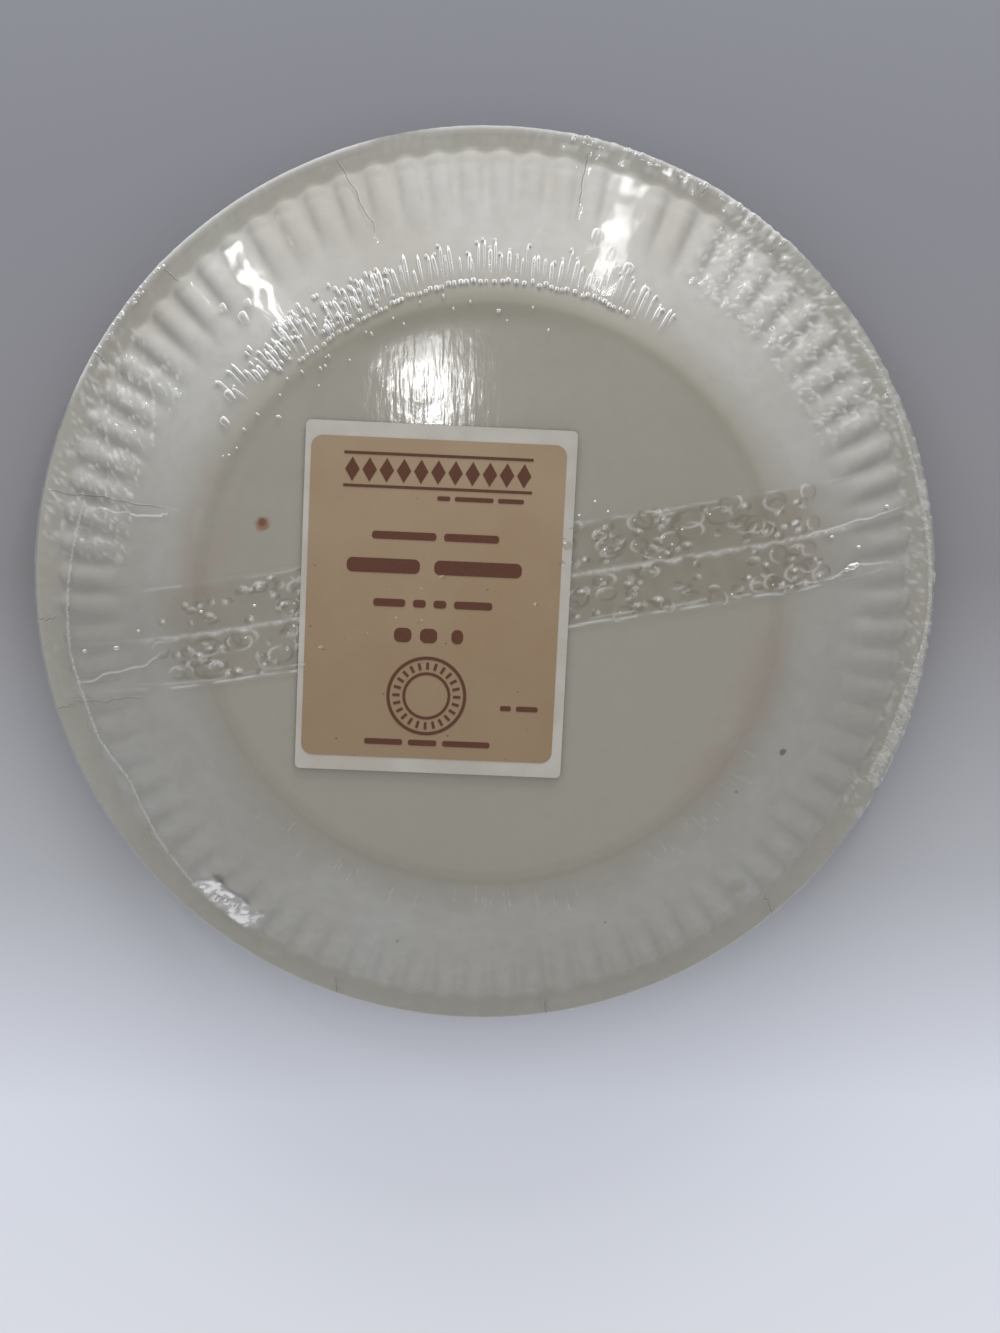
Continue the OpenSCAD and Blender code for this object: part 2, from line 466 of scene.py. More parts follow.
def lathe(name, outline):
    """Turns an outline of (radius, height) points, which starts on the axis, about that axis."""
    deselect()
    bpy.ops.mesh.primitive_plane_add(size=MM)
    piece = called(bpy.context.object, name)
    bpy.ops.object.mode_set(mode="EDIT")
    bpy.ops.mesh.select_mode(type="VERT")
    bpy.ops.mesh.select_all(action="SELECT")
    bpy.ops.mesh.merge(type="CENTER")
    bpy.ops.transform.translate(value=(outline[0][0], 0, outline[0][1]))
    for (r0, z0), (r1, z1) in zip(outline, outline[1:]):
        bpy.ops.mesh.extrude_region_move(TRANSFORM_OT_translate={"value": (r1 - r0, 0, z1 - z0)})
    sector = 2 * math.pi / FLUTE_COUNT
    bpy.ops.mesh.select_all(action="SELECT")
    bpy.ops.mesh.spin(steps=FLUTE_COLUMNS, angle=sector, center=(0, 0, 0), axis=(0, 0, 1))
    bpy.ops.mesh.select_all(action="SELECT")
    bpy.ops.mesh.spin(steps=FLUTE_COUNT - 1, dupli=True, angle=2 * math.pi - sector,
                      center=(0, 0, 0), axis=(0, 0, 1))
    bpy.ops.mesh.select_all(action="SELECT")
    bpy.ops.mesh.remove_doubles(threshold=JOIN_GAP)
    bpy.ops.mesh.normals_make_consistent(inside=False)
    bpy.ops.object.mode_set(mode="OBJECT")
    return piece


def give(piece, name, values):
    """Stores a number for each vertex, which a material reads by name."""
    layer = piece.data.attributes.new(name, "FLOAT", "POINT")
    layer.data.foreach_set("value", values)


# Plates

def flute_share(angle, radius):
    """How far the board stands up at a place on the wall, as a share of a flute's crown.

    The crown rises slowly outwards, is round at its outer end and dips a little before it.
    """
    pitch = 2 * math.pi / FLUTE_COUNT
    off = (angle - FLUTE_TURN + pitch / 2) % pitch - pitch / 2
    across = off * radius / FLUTE_HALF_W
    end = FLUTE_HALF_W * math.cos(WALL_SLOPE)
    beyond = max(0.0, radius - FLUTE_OUT_R + end) / end
    reach = across * across + beyond * beyond
    if reach >= 1:
        return 0.0
    dip = CAP_DIP * math.exp(-((radius - CAP_R) / CAP_DIP_W) ** 2)
    return (1 - reach) ** CROWN_POWER * smooth((radius - FLUTE_IN_R) / FLUTE_FADE) * (1 - dip)


def plate_outline():
    """Half outline of a plate's back, from its middle to its rim, with both creases rounded."""
    points = [(r * MM, DEPTH) for r in (0, 16, 32, 44, 51)]
    start = BASE_R - BASE_ROUND_R * math.tan(CREASE_SLOPE / 2)
    for step in range(5):
        a = CREASE_SLOPE * step / 4
        points.append((start + BASE_ROUND_R * math.sin(a), DEPTH - BASE_ROUND_R * (1 - math.cos(a))))
    arc_steps = 7
    for step in range(1, arc_steps + 1):
        a = CREASE_SLOPE + (WALL_SLOPE - CREASE_SLOPE) * step / arc_steps
        points.append((ARC_X + ARC_R * math.sin(a), ARC_Z + ARC_R * math.cos(a)))
    tangent = LIP_ROUND_R * math.tan(WALL_SLOPE / 2)
    wall_end = LIP_R - tangent * math.cos(WALL_SLOPE)
    for step in range(1, WALL_STEPS):
        r = STRAIGHT_R + (wall_end - STRAIGHT_R) * step / WALL_STEPS
        points.append((r, (LIP_R - r) * math.tan(WALL_SLOPE)))
    for step in range(5):
        a = WALL_SLOPE * (1 - step / 4)
        points.append((LIP_R + tangent - LIP_ROUND_R * math.sin(a), LIP_ROUND_R * (1 - math.cos(a))))
    points += [(LIP_R + r * MM, 0) for r in (1.5, 2.4, 4)] + [(PLATE_R, 0)]
    return points


def modelled_plate():
    """One plate with its flutes, at the height of the top plate."""
    plate = lathe("top_plate", [(r, z + TOP_RIM_Z) for r, z in plate_outline()])
    group = plate.vertex_groups.new(name="crowns")
    for vertex in plate.data.vertices:
        x, y, _ = vertex.co
        share = flute_share(math.atan2(y, x), math.hypot(x, y))
        if share > 0:
            group.add([vertex.index], share, "REPLACE")
    bpy.context.view_layer.objects.active = plate
    crowns = plate.modifiers.new("crowns", "DISPLACE")
    crowns.vertex_group = "crowns"
    crowns.strength = FLUTE_H
    crowns.mid_level = 0
    bpy.ops.object.modifier_apply(modifier="crowns")
    board = plate.modifiers.new("board", "SOLIDIFY")
    board.thickness = BOARD_T
    board.offset = -1
    bpy.ops.object.modifier_apply(modifier="board")
    plate.vertex_groups.clear()
    return dress(plate, BOARD, angle=50)


def plates():
    """The two plates that can be seen whole, and clean board on the six between them."""
    top = modelled_plate()
    bottom = top.copy()
    bottom.data = top.data.copy()
    called(bottom, "bottom_plate")
    bottom.data.transform(Matrix.Translation((0, 0, -(PLATE_COUNT - 1) * PITCH)))
    bottom.data.materials.clear()
    bottom.data.materials.append(CLEAN_BOARD)
    scene.collection.objects.link(bottom)
    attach(bottom, "root")
    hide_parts(TOP_PLATE)
    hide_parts("plate_1")
    for at in range(2, PLATE_COUNT):
        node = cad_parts[f"plate_{at}"]
        node.data.materials.clear()
        node.data.materials.append(CLEAN_BOARD)


# Film

def wall_point(radius, off):
    """A place off the wall by a distance, over its straight part."""
    return (radius + off * math.sin(WALL_SLOPE),
            (LIP_R - radius) * math.tan(WALL_SLOPE) + off * math.cos(WALL_SLOPE))


def film_corners():
    """The film's half outline over the plates' backs: it bridges the flutes and meets the rim."""
    over = ARC_R + FILM_OFF
    arc = [(ARC_X + over * math.sin(math.radians(a)), ARC_Z + over * math.cos(math.radians(a)))
           for a in (14, 17.5, 21, 24.5, 28, 31.5, 34)]
    return ([(0, DEPTH + FILM_OFF)] + arc
            + [wall_point(FILM_BRIDGE_IN_R, FILM_BRIDGE), wall_point(FILM_BRIDGE_OUT_R, FILM_BRIDGE),
               (FILM_R, FILM_OFF)])


def evenly(points, spacing):
    """A broken line's points and more between them, no further apart than the spacing."""
    line = [points[0]]
    for (r0, z0), (r1, z1) in zip(points, points[1:]):
        steps = max(1, round(math.hypot(r1 - r0, z1 - z0) / spacing))
        line += [(r0 + (r1 - r0) * s / steps, z0 + (z1 - z0) * s / steps)
                 for s in range(1, steps + 1)]
    return line


def eased(points, passes):
    """Rounds a line's corners by moving each inner point towards its neighbours."""
    for _ in range(passes):
        inner = [((a[0] + 2 * b[0] + c[0]) / 4, (a[1] + 2 * b[1] + c[1]) / 4)
                 for a, b, c in zip(points, points[1:], points[2:])]
        points = [points[0]] + inner + [points[-1]]
    return points


CORNERS = film_corners()
FILM_TOP = eased(evenly(CORNERS[:2], 2.6 * MM)[:-1] + evenly(CORNERS[1:], 0.85 * MM), 2)
FILM_TOP_RADII = [r for r, _ in FILM_TOP]


def film_point(x, y, lift=0.0):
    """A place on the film over the plates' backs from x and y, lifted along its normal, in mm."""
    radius = max(1e-6, math.hypot(x, y))
    at = min(len(FILM_TOP) - 2, max(0, bisect_right(FILM_TOP_RADII, radius * MM) - 1))
    (r0, z0), (r1, z1) = FILM_TOP[at], FILM_TOP[at + 1]
    slope = (z1 - z0) / (r1 - r0)
    height = z0 + slope * (radius * MM - r0) + TOP_RIM_Z
    steep = 1 / math.hypot(1, slope)
    out = -slope * steep * lift * MM
    grow = 1 + out / (radius * MM)
    return Vector((x * MM * grow, y * MM * grow, height + steep * lift * MM))


# Crumpled places: first and last clock angle, first and last radius, height in mm, strength of
# painted highlight
POCKETS = (
    (34, 64, 71, 88, 0.75, 0.4),
    (-83, -56, 71, 87, 0.6, 0.4),
    (-144.5, -137.0, 80.3, 83.8, 1.0, 2.2),
    (62, 120, 84, 89, 0.3, 0.3),
)

# Creases in the film: clock angle and radius at the outer end, then at the inner end, height
CREASES = (
    (-19.6, 88.5, -17.3, 70, 0.35),
    (12.8, 87, 12.8, 73, 0.25),
    (-45.5, 89, -45.0, 83, 0.3),
    (-59, 89, -59.6, 85.6, 0.25),
    (-77.8, 89.3, -74.7, 61, 0.45),
    (-94.4, 89, -94.0, 84, 0.25),
    (-106, 89, -106, 85, 0.25),
    (28.4, 89, 28.0, 85.6, 0.25),
    (40.7, 89, 39, 84, 0.3),
    (139, 89, 138, 84, 0.2),
    (-160, 89, -159, 85, 0.2),
    (172, 89, 172, 85, 0.2),
)

# Longer folds painted as dark shade lines and pale ones painted as highlights, through polar points
LONG_FOLDS = (
    ((-105.6, 86.3), (-106.4, 79.7), (-106.5, 75.2), (-106.9, 68.0)),
)
PALE_FOLDS = (
    ((79.5, 60.5), (78.8, 67.0), (78.9, 76.0), (78.9, 85.1)),
    ((87.2, 58.0), (87.6, 63.9), (86.4, 69.3), (85.4, 72.3), (86.5, 82.9)),
    ((-78.3, 79.0), (-77.6, 70.7), (-76.5, 64.3), (-74.9, 62.9)),
    ((-103.4, 83.9), (-102.7, 76.3), (-101.6, 67.6), (-99.8, 62.5)),
)

# Painted glints where the film is puckered to a point: clock angle, radius, size
GLINTS = (
    (80.3, 67.0, 0.9), (82.9, 72.5, 1.0), (78.1, 79.9, 1.0), (85.8, 70.7, 2.2), (85.6, 71.6, 1.6),
    (86.1, 69.6, 1.3), (53.4, 27.8, 0.6), (46.8, 23.1, 0.6), (47.0, 27.1, 0.6), (76.4, 33.3, 0.5),
    (89.1, 46.3, 0.6), (73.4, 36.1, 0.6), (-98.9, 80.1, 1.1), (-98.7, 73.1, 1.3),
    (-96.1, 67.9, 0.8), (-91.9, 44.8, 0.8), (-92.8, 55.0, 0.8), (-139.2, 82.9, 2.0),
    (-140.6, 82.2, 2.2), (-141.8, 81.6, 1.6), (-14.0, 44.5, 0.4), (-11.0, 40.0, 0.5),
    (-9.5, 38.8, 0.4), (-8.0, 39.6, 0.4), (-6.0, 38.5, 0.4),
)

# Larger drops of film in the glare: clock angle, radius, size
DROPS = (
    (-52.4, 60.5, 3.0), (-56.6, 58.6, 2.6), (-41.8, 68.5, 3.2), (-43.2, 73.0, 2.4),
    (-39.9, 70.4, 2.4), (16.3, 69.1, 3.6), (19.3, 67.1, 3.2), (22.5, 65.2, 3.4), (26.5, 62.9, 3.0),
)

# Places where the film is pulled flat across the flutes: clock angles, radii
TAUT = ((-40, -33.5, 70, 88), (14, 25, 60, 88))


def window(value, low, high, soft):
    """1 between two values, with soft ends outside them."""
    return smooth((value - low) / soft + 1) * smooth((high - value) / soft + 1)


def segment_distance(x, y, start, stop):
    """How far a place is from a straight stretch."""
    dx, dy = stop[0] - start[0], stop[1] - start[1]
    share = ((x - start[0]) * dx + (y - start[1]) * dy) / (dx * dx + dy * dy)
    share = min(1.0, max(0.0, share))
    return math.hypot(x - start[0] - share * dx, y - start[1] - share * dy)


CREASE_LINES = [(polar(a, r), polar(b, s), h) for a, r, b, s, h in CREASES]
CREASE_HALF_W = 0.5
FILM_SAG = 0.16
CALM_WAVE, WALL_WAVE, BROKEN_WAVE = 0.035, 0.065, 0.035


def crumple(spot, clock, radius, first, last, inner, outer, height, painted_lighting):
    """What a crumpled place adds to the film's rise and to the painted highlight on its crests."""
    soft = min(4, (last - first) / 4)
    share = window(clock, first, last, soft) * window(radius, inner, outer, soft * 0.4)
    if share == 0:
        return 0.0, 0.0
    crest = 1 - abs(noise.noise(spot * 0.42 + Vector((first, 0, 7)))) * 3
    crest += 0.5 - abs(noise.noise(spot * 0.95 + Vector((0, first, 3)))) * 2
    # Painted highlight on the crumple's crests.
    white = share * painted_lighting * (smooth(crest - 0.6) + (0.16 if painted_lighting > 1 else 0))
    return share * height * (0.55 * crest - 0.2), white


def rim_pleats(clock, radius):
    """What the fine pleats round the rim add to the film's rise and to its painted highlight, with a
    painted bright line along the film's edge on the lit upper side.
    """
    pleat = noise.noise(Vector((clock * 1.6, radius * 0.25, 1)))
    strength = window(radius, 86.5, 89, 1) * (0.08 + 0.3 * window(clock, 11, 55, 4))
    white = 0.5 * strength * smooth(abs(pleat) * 2)
    # Painted highlight: a bright line along the film's edge, strongest on the lit upper side.
    edge_light = window(clock, -62, -18, 6) + 0.7 * window(clock, -5, 40, 6)
    white += (0.08 + 0.45 * edge_light) * window(radius, 88.7, 90, 0.5)
    return strength * pleat, white


def film_relief(x, y):
    """What the film rises over its smooth form at a place over the backs, and how much painted
    highlight it carries.
    """
    radius = math.hypot(x, y)
    clock = math.degrees(math.atan2(x, y))
    spot = Vector((x, y, 0))
    slack = 1.0
    for first, last, inner, outer in TAUT:
        slack -= window(clock, first, last, 3) * window(radius, inner, outer, 3)
    wave = CALM_WAVE + WALL_WAVE * smooth((radius - 48) / 8)
    lift = wave * noise.noise(spot * 0.07) * slack
    broken = max(window(clock, -47, -28, 3), window(clock, 10, 28, 3)) * window(radius, 62, 86, 3)
    lift += BROKEN_WAVE * broken * noise.noise(spot * 0.4)
    white = 0.0
    if radius > 60:
        sink = 1 - flute_share(math.atan2(y, x), radius * MM) if 70 < radius < 84 else 1
        lift -= FILM_SAG * slack * sink * window(radius, 71, 83, 2)
    for pocket in POCKETS:
        rise, painted_lighting = crumple(spot, clock, radius, *pocket)
        lift += rise
        white += painted_lighting
    if radius > 54:
        for start, stop, height in CREASE_LINES:
            reach = segment_distance(x, y, start, stop)
            if reach < 4 * CREASE_HALF_W:
                lift += 0.5 * height * math.exp(-(reach / CREASE_HALF_W) ** 2)
    if radius > 84:
        rise, painted_lighting = rim_pleats(clock, radius)
        lift += rise
        white += painted_lighting
    return lift, white


def wrap():
    """The film round the whole stack, closed under it."""
    foot = -TOP_RIM_Z
    side = evenly([(FILM_R, FILM_OFF), (FILM_R, foot)], 1.2 * MM)
    under = evenly([(FILM_R, foot), (0, foot)], 4 * MM)
    outline = FILM_TOP + side[1:] + under[1:]
    piece = lathe("film_wrap", [(r, z + TOP_RIM_Z) for r, z in outline])
    normals = [Vector(item.vector) for item in piece.data.vertex_normals]
    whites = []
    for vertex, normal in zip(piece.data.vertices, normals):
        x, y, z = vertex.co / MM
        lift, white = 0.0, 0.0
        if z > TOP_RIM_Z / MM + 0.2:
            lift, white = film_relief(x, y)
        elif z > 0.1:
            lift = -0.12 + 0.12 * noise.noise(Vector((math.atan2(x, y) * 30, z * 0.2, 5)))
        vertex.co += normal * lift * MM
        whites.append(white)
    give(piece, "creased", whites)
    dress(piece, FILM)
    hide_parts("shrink_film")


def patch(name, columns, rows, place):
    """A sheet set point by point: place takes two shares and gives a point and its white."""
    deselect()
    bpy.ops.mesh.primitive_grid_add(x_subdivisions=columns, y_subdivisions=rows, size=1)
    piece = called(bpy.context.object, name)
    whites = []
    for vertex in piece.data.vertices:
        vertex.co, white = place(vertex.co.x + 0.5, vertex.co.y + 0.5)
        whites.append(white)
    give(piece, "creased", whites)
    return piece


def seam_place(along, across):
    """x and y in mm from a place along the seam and across it."""
    across += SEAM_SHIFT
    return (along * math.cos(SEAM_TURN) - across * math.sin(SEAM_TURN),
            along * math.sin(SEAM_TURN) + across * math.cos(SEAM_TURN))


def seam_bubbles():
    """Air trapped under the lap: place along and across, radius, height, where its rim shines."""
    rng = random.Random(11)
    bubbles = []
    for _ in range(330):
        along = rng.choice((-1, 1)) * rng.uniform(8, 64)
        radius = rng.choice((0.45, 0.5, 0.6, 0.7, 0.9, 1.2, 1.6))
        across = rng.uniform(-9.2, 9.4)
        if abs(across) < 0.8 + radius * 0.6:
            continue
        bubbles.append((along, across, radius, radius * rng.uniform(0.9, 1.8),
                        rng.uniform(0.08, 0.3), rng.uniform(0, 2 * math.pi)))
    return bubbles


SEAM_BUBBLES = seam_bubbles()

# Painted bright lines along the lap: place across, strength
LAP_EDGES = ((-9.7, 0.5), (-8.7, 0.25), (9.6, 0.15))


def lap_relief(along, across):
    """What the lap rises over the film, and its painted light: bubble rims lit on one side and
    shaded on the other, glints, and bright lines along the weld and the lap's edges.
    """
    ragged = noise.noise(Vector((along * 0.35, 4, 2)))
    lift = LAP_LIFT
    white, dark = 0.0, 0.0
    for centre, side, wide, long, height, shine in SEAM_BUBBLES:
        dx = (along - centre) / long
        if abs(dx) > 1.4:
            continue
        dy = (across - side) / wide
        reach = math.hypot(dx, dy)
        if reach < 1:
            lift = max(lift, LAP_LIFT + height * (1 - reach * reach) ** 0.5)
        # Painted light and shade: a bubble's rim is whiter on the side that faces shine and darker
        # on the other, and small bubbles get a painted glint.
        line = math.exp(-((reach - 1) * wide / LINE_HALF_W) ** 2)
        lit = math.cos(math.atan2(dy, dx) - shine)
        white = max(white, 0.3 * line * max(0.0, lit))
        dark = min(dark, 0.26 * line * min(0.0, lit))
        spark = math.hypot(along - centre - 0.5 * long * math.cos(shine),
                           across - side - 0.5 * wide * math.sin(shine))
        if wide < 1.0:
            white = max(white, (height * 4 - 0.4) * math.exp(-(spark / SPARK_R) ** 2))
    thin = 0.5 + 0.22 * ragged
    weld = math.exp(-((across + 0.5 * ragged) / thin) ** 2)
    grit = noise.noise(Vector((along * 1.1, across * 1.4, 12)))
    lift += WELD_LIFT * weld * (1 + grit)
    # Painted highlight along the weld.
    white = max(white, (0.24 + 0.12 * ragged + 0.2 * grit) * weld)
    for edge, strength in LAP_EDGES:
        wander = edge + 0.5 * noise.noise(Vector((along * 0.12, edge, 9)))
        broken = smooth(0.6 + 2.2 * noise.noise(Vector((along * 0.22, edge * 3, 1))))
        white = max(white, strength * broken * math.exp(-((across - wander) / LINE_HALF_W) ** 2))
    fray = smooth((SEAM_HALF_W - 0.2 - abs(across)) / 0.8)
    fade = 0.25 + 0.75 * window(along, -62, 66, 8)
    tone = white if white > -dark else dark
    return lift * fray + 0.03, tone * fade


def dullness(along, across):
    """How much the doubled film dulls what lies behind it: most beside the label, right of it."""
    ragged = 3 * noise.noise(Vector((along * 0.2, across * 0.3, 8)))
    right = window(along + ragged, 12, 62, 6)
    left = 0.5 * window(along + ragged, -60, -12, 6)
    spread = 0.75 + 0.5 * noise.noise(Vector((along * 0.3, across * 0.3, 2)))
    return max(right, left) * spread * smooth((SEAM_HALF_W - 0.3 - abs(across)) / 1.2)


def lap():
    """The strip where one edge of the film lies over the other, with its weld and its bubbles."""
    dull = []

    def place(u, v):
        along = SEAM_REACH * (2 * u - 1)
        across = SEAM_HALF_W * (2 * v - 1)
        lift, white = lap_relief(along, across)
        dull.append(dullness(along, across))
        x, y = seam_place(along, across)
        return film_point(x, y, lift + film_relief(x, y)[0]), white

    piece = patch("film_lap", 640, 76, place)
    give(piece, "doubled", dull)
    dress(piece, FILM)


def blister():
    """A long drop of film, one unit wide, long and high, its round end up the pack's radius, with a
    painted highlight along its sides and at its round end.
    """
    def place(u, v):
        taper = (v ** 0.35) * (1 - v ** 7) ** 0.5
        across = 2 * u - 1
        rise = (1 - across * across) ** 0.5 * taper
        # Painted highlight along the sides and at the round end.
        rim = 0.55 * smooth(abs(across) * 1.8 - 0.6) + 0.6 * smooth(v * 5 - 3.8) + 0.08
        return Vector((0.5 * across * taper, v, rise)), rim * smooth(v * 1.6)

    return patch("blister", 6, 10, place)


def scatter(name, places):
    """Copies of the blister set on the film, each at a clock angle and radius with its own size and
    its own strength of painted highlight.
    """
    model = blister()
    whites = [item.value for item in model.data.attributes["creased"].data]
    corners = [vertex.co.copy() for vertex in model.data.vertices]
    copies = []
    for clock, radius, length, width, height, lean, bright in places:
        copy = model.copy()
        copy.data = model.data.copy()
        scene.collection.objects.link(copy)
        for vertex, corner in zip(copy.data.vertices, corners):
            r = radius + corner.y * length
            side = corner.x * width + lean * corner.y
            x, y = polar(clock, r)
            turn = math.radians(clock)
            x, y = x + side * math.cos(turn), y - side * math.sin(turn)
            vertex.co = film_point(x, y, corner.z * height + 0.04 + film_relief(x, y)[0])
        layer = copy.data.attributes["creased"].data
        layer.foreach_set("value", [bright * white for white in whites])
        copies.append(copy)
    bpy.data.objects.remove(model)
    dress(joined(copies, name), GATHER_FILM)


def gathers():
    """Fine gathers where the film shrank over the crease on the label's upper side."""
    rng = random.Random(5)
    places = []
    clock = -52.0
    while clock < 33:
        crowd = window(clock, -42, -22, 8)
        inner = 59.6 + rng.uniform(-0.8, 1.2) - 2.6 * crowd * rng.random()
        length = rng.uniform(2.8, 6.6) + 1.5 * window(clock, -12, 24, 8)
        wide = rng.uniform(0.5, 0.95)
        places.append((clock, inner, length, wide, rng.uniform(0.2, 0.4), rng.uniform(-0.5, 0.5),
                       rng.uniform(0.8, 2.0)))
        if rng.random() < 0.55:
            places.append((clock, inner + length - 0.5, 0.7, 0.7, 0.4, 0.0, 3.0))
        if rng.random() < crowd:
            for _ in range(3):
                places.append((clock + rng.uniform(-0.8, 0.8), inner + rng.uniform(0, 6.5),
                               rng.uniform(0.6, 1.8), rng.uniform(0.5, 0.9), 0.4, 0.0, 2.6))
        clock += rng.uniform(0.55, 1.2) + 0.5 * (1 - crowd) * rng.random()
    scatter("film_gathers", places)


def bead_ring():
    """A row of small beads of film along the crease, stray ones inside it and at the rim."""
    rng = random.Random(8)
    places = []
    clock = -38.0
    while clock < 26:
        bend = smooth((clock + 38) / 40)
        places.append((clock, 56.6 + 2.6 * bend + rng.uniform(-0.25, 0.25), rng.uniform(0.8, 1.3),
                       rng.uniform(0.7, 1.2), rng.uniform(0.3, 0.45), 0.0,
                       1.4 + 2.2 * bend * rng.random()))
        clock += rng.uniform(0.8, 1.6)
    for _ in range(30):
        places.append((rng.uniform(-62, 12), rng.uniform(51, 57), rng.uniform(0.4, 1.2), 0.4, 0.25,
                       0.0, 2.2))
    for low, high, count in ((-62, -44, 26), (10, 36, 34)):
        for _ in range(count):
            places.append((rng.uniform(low, high), rng.uniform(87.2, 88.5), rng.uniform(0.4, 1.0),
                           rng.uniform(0.5, 1.3), 0.3, 0.0, rng.uniform(0.8, 2.4)))
    places += [(clock, radius, size, 0.7 * size, 0.5, 0.3, 1.1) for clock, radius, size in DROPS]
    scatter("film_beads", places)


def lower_gathers():
    """Short faint gathers on the lower half of the crease, and the painted glints at the puckers."""
    rng = random.Random(21)
    places = []
    for _ in range(46):
        clock = rng.uniform(118, 235)
        places.append((clock, rng.uniform(56.5, 60.5), rng.uniform(1.5, 4.5),
                       rng.uniform(0.4, 0.6), 0.08, 0.0, 0.16))
    places += [(clock, radius - size / 2, size, 0.75 * size, 0.35, 0.0, 3.2)
               for clock, radius, size in GLINTS]
    scatter("film_creases", places)


def path_at(points, share):
    """A place on a line through polar points, by a share of its steps."""
    at = min(len(points) - 2, int(share * (len(points) - 1)))
    part = share * (len(points) - 1) - at
    (a, r), (b, s) = points[at], points[at + 1]
    return a + (b - a) * part, r + (s - r) * part


# The trims near the rim, through polar points
LEFT_BEAD = ((-77.5, 80.3), (-83.3, 81.2), (-90.3, 82.4), (-98.6, 83.3), (-105.7, 82.7),
             (-111.6, 82.7), (-118.4, 80.6), (-127.9, 82.9), (-135.8, 84.1))
RIGHT_BEAD = ((54.3, 86.9), (60.8, 87.8), (70.4, 87.3), (78.5, 87.6), (86.4, 88.1), (91.7, 88.3),
              (97, 88.1), (104, 87.5), (110, 87.2), (117, 87))


def bead(name, points, columns, half_width, height, white):
    """A raised line of film along a path, crimped across, with a painted highlight along it."""
    def place(u, v):
        clock, radius = path_at(points, u)
        side = 2 * v - 1
        crimp = noise.noise(Vector((clock * 3.1, side, 2)))
        wide = half_width(clock) * (1 + 0.5 * crimp)
        x, y = polar(clock, radius + side * wide)
        rise = height * (1 - side * side) ** 0.5 * (1 + 0.5 * crimp)
        # Painted highlight along the raised line.
        painted_lighting = white * smooth(0.6 + 1.2 * noise.noise(Vector((clock * 4, side * wide * 2.5, 4))))
        return film_point(x, y, rise + max(0.0, film_relief(x, y)[0])), painted_lighting

    dress(patch(name, columns, 6, place), GATHER_FILM)


def fold(points, middle, edge, half_width):
    """A sharp fold in the film along a path: the painted light of its middle, dark for shade and
    pale for a highlight, and the painted highlight of its edge.
    """
    def place(u, v):
        clock, radius = path_at(points, u)
        ahead_clock, ahead = path_at(points, min(1.0, u + 0.02))
        back_clock, back = path_at(points, max(0.0, u - 0.02))
        x1, y1 = polar(ahead_clock, ahead)
        x0, y0 = polar(back_clock, back)
        reach = math.hypot(x1 - x0, y1 - y0)
        side = 2 * v - 1
        wander = 0.7 * noise.noise(Vector((points[0][0], u * 7, 3))) + side * half_width
        x, y = polar(clock, radius)
        x, y = x - wander * (y1 - y0) / reach, y + wander * (x1 - x0) / reach
        # Painted light: the middle dark as shade or pale as a highlight, the edge a painted
        # highlight.
        tone = middle if abs(side) < 0.4 else edge * smooth(side + 0.5)
        ends = smooth(u * 8) * smooth((1 - u) * 4)
        return film_point(x, y, 0.06 + film_relief(x, y)[0]), tone * ends

    return patch("fold", 60, 6, place)


def folds():
    """The sharp folds that run in from the rim, painted as dark shade lines, and a few pale
    highlight lines painted across the flutes.
    """
    pieces = [fold(((a, r), (b, s)), -0.5, 0.22, 0.22) for a, r, b, s, _ in CREASES]
    pieces += [fold(points, -0.35, 0.2, 0.25) for points in LONG_FOLDS]
    pieces += [fold(points, 0.4, 0.12, 0.34) for points in PALE_FOLDS]
    dress(joined(pieces, "film_folds"), GATHER_FILM)


def beads():
    """The crimped trims at the left and at the right, which widens at its lower end."""
    bead("trim_left", LEFT_BEAD, 420, lambda clock: 0.28, 0.25, 0.24)
    bead("trim_right", RIGHT_BEAD, 620, lambda clock: 0.4 + 0.9 * window(clock, 104, 117, 8), 0.3,
         0.27)


# Floor and light

# Floor colours from near to far: the darker grey beyond is painted shade.
FLOOR_COLOURS = (
    (0.0, (246, 249, 255)), (0.2, (236, 240, 252)), (0.34, (188, 190, 197)),
    (0.52, (145, 144, 148)), (0.75, (142, 143, 151)), (1.0, (148, 150, 158)),
)
FLOOR_FIRST, FLOOR_LAST = -180.0, 170.0
FLOOR_SIZE = 6
FLOOR_GAP = 0.2 * MM

# Clock angle, elevation, distance, width, height and the white that each gives face on
SOFT_LAMPS = {
    "key": (0, 12, 1.1, 0.9, 0.3, 0.86),
    "fill": (180, 14, 1.1, 1.2, 0.4, 0.18),
}
GLARE_LAMPS = {
    "glare_left": (-40, 22, 0.6, 0.016, 0.16, 0.08),
    "glare_right": (23, 27, 0.6, 0.034, 0.26, 0.13),
    "glare_top": (-60, 89.0, 0.7, 0.009, 0.02, 0.013),
    "haze_top": (-20, 87.8, 0.7, 0.016, 0.03, 0.009),
}
LAMP_AIM = Vector((0, 0, 10)) * MM


def floor():
    """A plain sweep with painted shade: pale towards the viewer's side, darker grey beyond."""
    deselect()
    bpy.ops.mesh.primitive_plane_add(size=FLOOR_SIZE, location=(0, 0, -FLOOR_GAP))
    piece = called(bpy.context.object, "floor")
    f = Finish("floor")
    along = f.along(f.place(), 1)
    share = f.node("ShaderNodeMapRange", None, along, FLOOR_FIRST, FLOOR_LAST, 0.0, 1.0)
    stops = [(at, srgb(*colour)) for at, colour in FLOOR_COLOURS]
    colour = f.node("ShaderNodeValToRGB", {"stops": stops}, share)
    shader = f.node("ShaderNodeBsdfPrincipled", None, Base_Color=colour, Roughness=0.8)
    piece.data.materials.append(f.surface(shader))


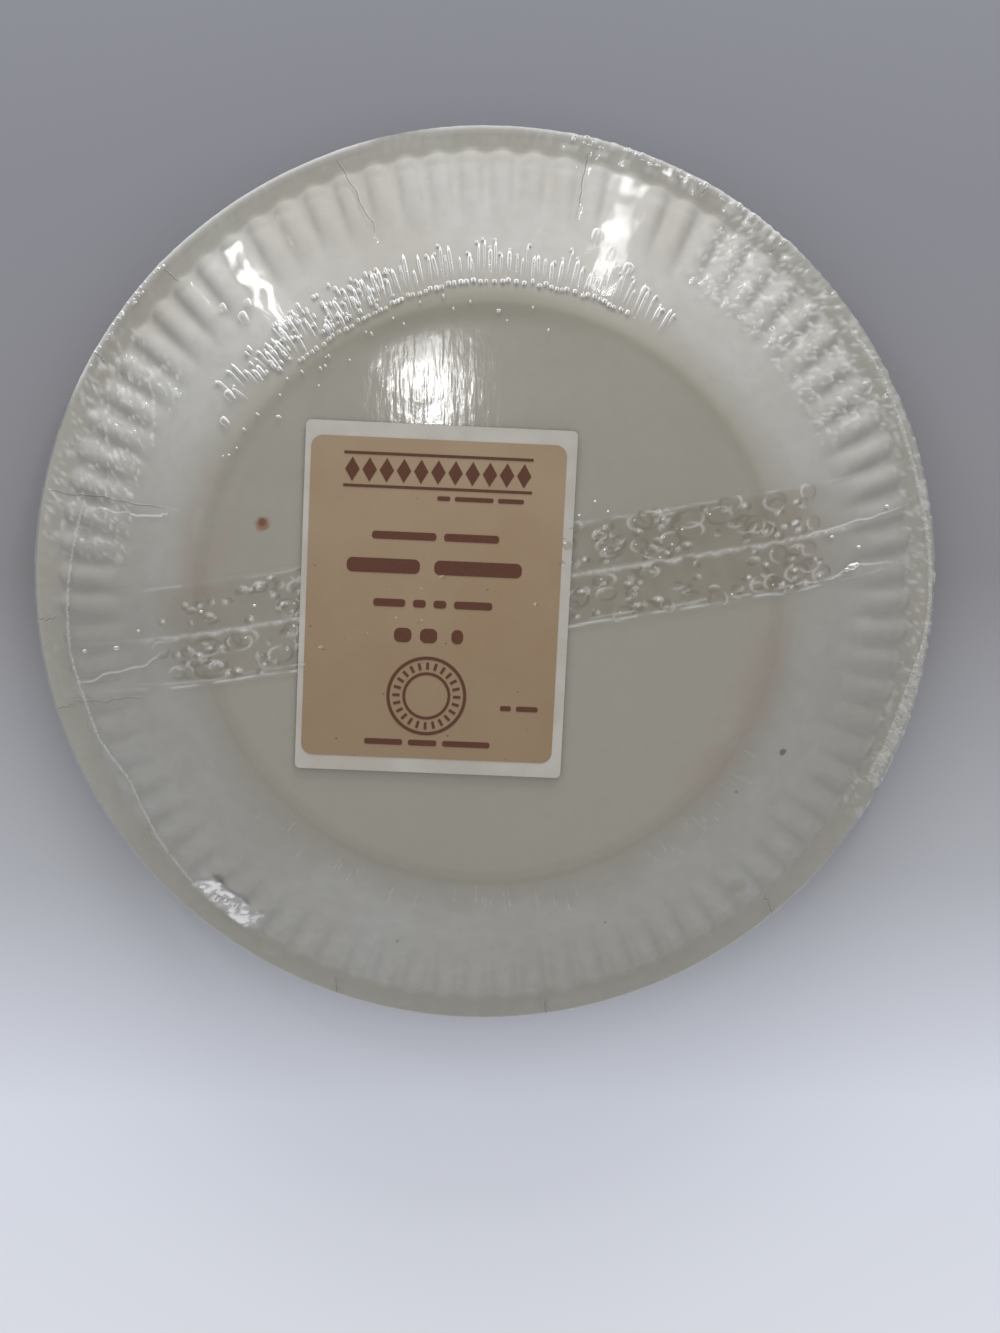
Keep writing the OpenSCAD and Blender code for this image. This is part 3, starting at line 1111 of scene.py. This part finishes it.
def lamp(name, glossy, clock, elevation, distance, wide, tall, level):
    """An area light that faces the pack, and that shows in glossy surfaces or doesn't."""
    flat = math.cos(math.radians(elevation))
    x, y = polar(clock, flat)
    way = Vector((x, y, math.sin(math.radians(elevation))))
    data = bpy.data.lights.new(name, "AREA")
    data.shape = "RECTANGLE"
    data.size = wide
    data.size_y = tall
    data.energy = level * math.pi ** 2 * distance ** 2
    light = bpy.data.objects.new(name, data)
    light.location = LAMP_AIM + way * distance
    light.rotation_euler = way.to_track_quat("Z", "Y").to_euler()
    light.visible_glossy = glossy
    scene.collection.objects.link(light)


def sky():
    """Soft light from all round, and a pale backdrop for the camera."""
    world = bpy.data.worlds.new("studio")
    scene.world = world
    world.use_nodes = True
    tree = world.node_tree
    tree.nodes.clear()
    out = tree.nodes.new("ShaderNodeOutputWorld")
    mix = tree.nodes.new("ShaderNodeMixShader")
    rays = tree.nodes.new("ShaderNodeLightPath")
    soft = tree.nodes.new("ShaderNodeBackground")
    soft.inputs["Color"].default_value = (0.98, 0.985, 1.0, 1)
    soft.inputs["Strength"].default_value = 0.55
    backdrop = tree.nodes.new("ShaderNodeBackground")
    backdrop.inputs["Color"].default_value = srgb(196, 199, 208)
    tree.links.new(rays.outputs["Is Camera Ray"], mix.inputs[0])
    tree.links.new(soft.outputs[0], mix.inputs[1])
    tree.links.new(backdrop.outputs[0], mix.inputs[2])
    tree.links.new(mix.outputs[0], out.inputs["Surface"])


def lights():
    """Soft light from the far and the near side, and narrow lamps that glare on the film."""
    for name, values in SOFT_LAMPS.items():
        lamp(name, False, *values)
    for name, values in GLARE_LAMPS.items():
        lamp(name, True, *values)


def label_looks():
    """Paper and inks for the label, whose solids are shown as they are."""
    for name, material in (("label", label_paper()), ("label_panel", tan_ink()),
                           ("label_print", brown_ink())):
        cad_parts[name].data.materials.clear()
        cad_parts[name].data.materials.append(material)


plates()
wrap()
lap()
gathers()
bead_ring()
lower_gathers()
folds()
beads()
label_looks()
floor()
sky()
lights()


def corners(box):
    """A box's corners, rounded to a thousandth of a millimetre."""
    return [[round(value, 6) for value in corner] for corner in box]
